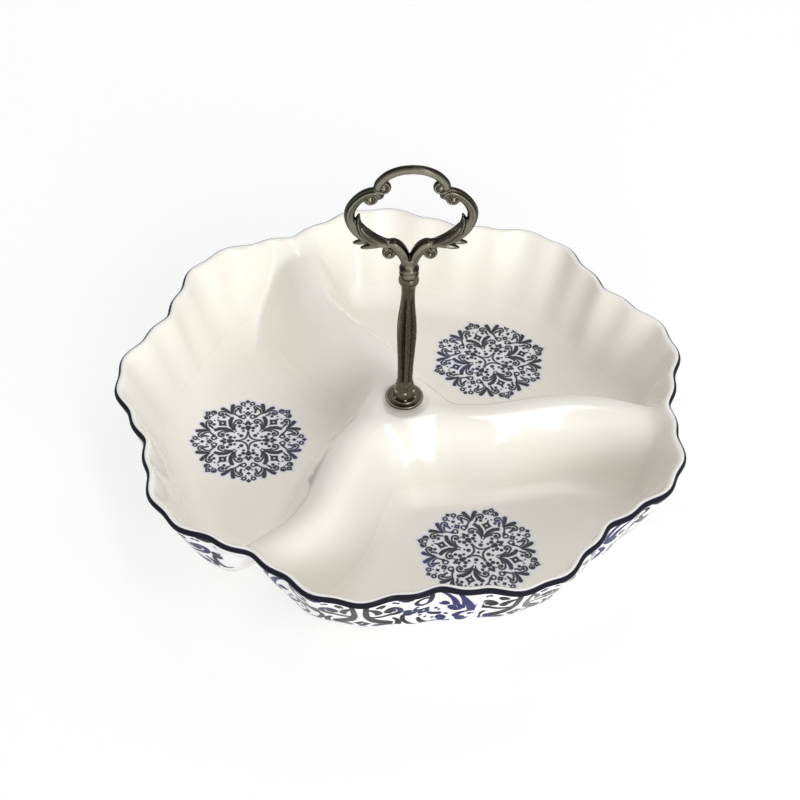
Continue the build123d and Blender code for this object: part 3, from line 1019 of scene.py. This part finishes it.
def makeStem(shape, finish):
    bm = bmesh.new()
    low, high, count = shape["shaft"]
    heights = [low + (high - low) * k / count for k in range(count + 1)]
    shaft = [(stemRadius(height, shape["radii"]), height) for height in heights]
    spinProfile(bm, [*shape["profile"], *shaft, *shape["collar"]], shape["steps"])
    wearAndPaintedLight = bm.verts.layers.float.new("wearAndPaintedLight")
    flutes, turn = shape["flutes"], math.radians(shape["fluteTurn"])
    first, last = shape["petals"]
    for vert in bm.verts:
        vert[wearAndPaintedLight] = shape["wearAndPaintedLight"]
        if math.hypot(vert.co.x, vert.co.y) < shape["boreReach"]:
            continue
        height, angle = vert.co.z, math.atan2(vert.co.y, vert.co.x) - turn
        groove = math.cos(flutes / 2 * angle) ** shape["fluteSharpness"]
        groove *= easeShare(height, *shape["fluteFoot"])
        groove *= 1 - easeShare(height, *shape["fluteTop"])
        rise = math.sin(math.pi * min(max((height - first) / (last - first), 0), 1))
        petal = math.cos(flutes * angle + math.pi) - shape["petalShift"]
        factor = 1 - shape["fluteDepth"] * groove + shape["petalRise"] * rise * petal
        # painted shade: the flute grooves darker
        vert[wearAndPaintedLight] *= 1 - shape["groovePaintedShade"] * groove
        vert.co.x *= factor
        vert.co.y *= factor
    around, up = shape["beadSegments"]
    for k in range(flutes):
        angle = 2 * math.pi * (k + 0.5) / flutes + turn / 2
        for height, reach, radius in shape["beads"]:
            spot = Matrix.Translation((reach * math.cos(angle), reach * math.sin(angle), height))
            ball = bmesh.ops.create_uvsphere(
                bm, u_segments=around, v_segments=up, radius=radius, matrix=spot
            )
            # the beads painted lightest, a painted highlight
            for vert in ball["verts"]:
                vert[wearAndPaintedLight] = 1.0
    bmesh.ops.recalc_face_normals(bm, faces=bm.faces)
    bmesh.ops.scale(bm, vec=(mm, mm, mm), verts=bm.verts)
    keepPiece("flutedStem", bm, [finish], "handle", ["handle_stem"])


# the dished flange under the stem, in mm: radius and height
flangeShape = {
    "profile": [
        (2.75, 35.8),
        (6.2, 35.8),
        (7.1, 36.1),
        (7.9, 36.7),
        (8.3, 37.4),
        (8.4, 37.9),
        (8.3, 38.2),
        (8.05, 38.35),
        (7.7, 38.28),
        (7.1, 38.1),
        (6.3, 37.98),
        (5.6, 38.05),
        (5.1, 38.25),
        (4.94, 38.38),
        (4.9, 37.05),
        (2.75, 37.0),
    ],
    "steps": 72,
    "lighterRimHeights": (38.1, 38.3),
    "wearAndPaintedLight": (0.5, 0.85),  # dish and rim, the rim lighter
}


def makeFlange(shape, finish):
    bm = bmesh.new()
    spinProfile(bm, shape["profile"], shape["steps"], closed=True)
    bmesh.ops.recalc_face_normals(bm, faces=bm.faces)
    wearAndPaintedLight = bm.verts.layers.float.new("wearAndPaintedLight")
    dish, rim = shape["wearAndPaintedLight"]
    for vert in bm.verts:
        # the dish darker and the rim lighter, by height
        vert[wearAndPaintedLight] = dish + (rim - dish) * easeShare(vert.co.z, *shape["lighterRimHeights"])
    bmesh.ops.scale(bm, vec=(mm, mm, mm), verts=bm.verts)
    keepPiece("dishedFlange", bm, [finish], "clamp", ["foot_flange"])


turn, dividers = bowlShape["turn"], bowlShape["dividers"]
plainGlaze = glazeFinish("warmWhiteGlaze", glazeLook)
floorGlaze = glazeFinish(
    "medallionGlaze", glazeLook, lambda place: medallionInk(place, medallionPrint, turn)
)
wallGlaze = glazeFinish(
    "scrollBandGlaze", bandLook, lambda place: bandInk(place, bandPrint, turn, dividers)
)
bronze = bronzeFinish(bronzeLook)
zincPlate = plainFinish("zincPlate", plainLooks["zincPlate"])
softWasher = plainFinish("softWasher", plainLooks["softWasher"])
print("finishes made")

makeBowl(bowlShape, [plainGlaze, floorGlaze, wallGlaze])
makeRing(ringShape, bronze)
makeStem(stemShape, bronze)
makeFlange(flangeShape, bronze)
nodeFinishes = {
    "joining_stud": zincPlate,
    "lower_washer": zincPlate,
    "fixing_screw": zincPlate,
    "upper_gasket": softWasher,
    "lower_gasket": softWasher,
}
for node, finish in nodeFinishes.items():
    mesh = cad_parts[node].data
    mesh.materials.clear()
    mesh.materials.append(finish)
print("pieces made")

# floor, light and camera
stageLook = {
    "floorSize": 6.0,
    "floorDrop": 0.0002,
    "floor": (0.92, 0.92, 0.92),
    "floorRoughness": 0.9,
    "shadowShare": 0.3,
    "white": 1.075,
}


def seenRays(tree):  # the rays that show a background: straight, in the gloss or through glass
    path = tree.nodes.new("ShaderNodeLightPath")
    kinds = ("Is Camera Ray", "Is Glossy Ray", "Is Transmission Ray")
    straight, glossy, through = [Thread(tree, path.outputs[kind]) for kind in kinds]
    return straight.most(glossy).most(through)


def makeStage(look):
    bm = bmesh.new()
    bmesh.ops.create_grid(bm, x_segments=1, y_segments=1, size=look["floorSize"] / 2)
    mesh = bpy.data.meshes.new("paleFloor")
    bm.to_mesh(mesh)
    bm.free()
    floor = bpy.data.objects.new("paleFloor", mesh)
    floor.location.z = -look["floorDrop"]
    bpy.context.scene.collection.objects.link(floor)
    finish = bpy.data.materials.new("paleFloor")
    finish.use_nodes = True
    tree = finish.node_tree
    shader = tree.nodes["Principled BSDF"]
    shader.inputs["Base Color"].default_value = (*look["floor"], 1.0)
    shader.inputs["Roughness"].default_value = look["floorRoughness"]
    shader.inputs["Specular IOR Level"].default_value = 0.0
    glow = tree.nodes.new("ShaderNodeEmission")
    glow.inputs["Strength"].default_value = look["white"]
    blend = tree.nodes.new("ShaderNodeMixShader")
    tree.links.new((seenRays(tree) * (1 - look["shadowShare"])).socket, blend.inputs[0])
    tree.links.new(shader.outputs[0], blend.inputs[1])
    tree.links.new(glow.outputs[0], blend.inputs[2])
    tree.links.new(blend.outputs[0], tree.nodes["Material Output"].inputs["Surface"])
    mesh.materials.append(finish)


lightSetup = {
    "world": 0.28,
    "lamps": {  # place, length axis, width, length and watts
        "windowStrip": ((0.5, -0.77, 0.95), (-0.21, 0.89, 0.39), 0.2, 2.8, 6.2),
        "windowGloss": ((0.507, -0.801, 0.936), (-0.21, 0.89, 0.39), 0.26, 2.87, 13.5),
        "frontKey": ((0.45, -1.67, 0.51), (0, 0, 1), 1.5, 0.9, 24.2),
        "backFill": ((0.26, 1.45, 1.03), (0, 0, 1), 1.5, 0.9, 9.5),
        "leftFill": ((-0.9, 0.0, 1.56), (0, 1, 0), 0.9, 0.6, 2.5),
        "rightFill": ((1.35, -0.78, 0.9), (0, 0, 1), 0.9, 0.6, 2.8),
    },
    "tilted": {  # the way their backs look, the others face the middle
        "windowStrip": (0.09, -0.378, 0.91),
        "windowGloss": (0.09, -0.378, 0.91),
    },
    "glossOnly": ["windowGloss"],  # seen in the gloss, the others give the light
}


def makeLights(setup):
    world = bpy.data.worlds.new("softSky")
    bpy.context.scene.world = world
    world.use_nodes = True
    tree = world.node_tree
    sky = tree.nodes["Background"]
    strength = seenRays(tree) * (1 - setup["world"]) + setup["world"]
    tree.links.new(strength.socket, sky.inputs["Strength"])
    sky.inputs["Color"].default_value = (1, 1, 1, 1)
    for name, (place, axis, width, length, watts) in setup["lamps"].items():
        lamp = bpy.data.lights.new(name, "AREA")
        lamp.shape = "RECTANGLE"
        lamp.size, lamp.size_y, lamp.energy = width, length, watts
        back = Vector(setup["tilted"].get(name, place)).normalized()
        side = Vector(axis).cross(back).normalized()
        turned = Matrix((side, back.cross(side), back)).transposed().to_4x4()
        holder = bpy.data.objects.new(name, lamp)
        holder.matrix_world = Matrix.Translation(place) @ turned
        glossOnly = name in setup["glossOnly"]
        holder.visible_glossy, holder.visible_diffuse = glossOnly, not glossOnly
        bpy.context.scene.collection.objects.link(holder)


cameraShot = {
    "azimuth": -3.6,
    "elevation": 43.76,
    "distance": 0.994,
    "aim": (-0.0018, 0.0, 0.0354),
    "roll": 2.1,
    "lens": 102.15,
    "sensor": 36.0,
}


def makeCamera(shot):
    turn, rise = math.radians(shot["azimuth"]), math.radians(shot["elevation"])
    flat = math.cos(rise)
    back = Vector((math.sin(turn) * flat, -math.cos(turn) * flat, math.sin(rise)))
    camera = bpy.data.objects.new("photoView", bpy.data.cameras.new("photoView"))
    bpy.context.scene.collection.objects.link(camera)
    level = (-back).to_track_quat("-Z", "Y").to_matrix().to_4x4()
    roll = Matrix.Rotation(math.radians(shot["roll"]), 4, "Z")
    place = Vector(shot["aim"]) + back * shot["distance"]
    camera.matrix_world = Matrix.Translation(place) @ level @ roll
    camera.data.lens = shot["lens"]
    camera.data.sensor_width = shot["sensor"]
    bpy.context.scene.camera = camera


makeStage(stageLook)
makeLights(lightSetup)
makeCamera(cameraShot)
bpy.context.scene.view_settings.view_transform = "Standard"
print("stage, lights and camera set")
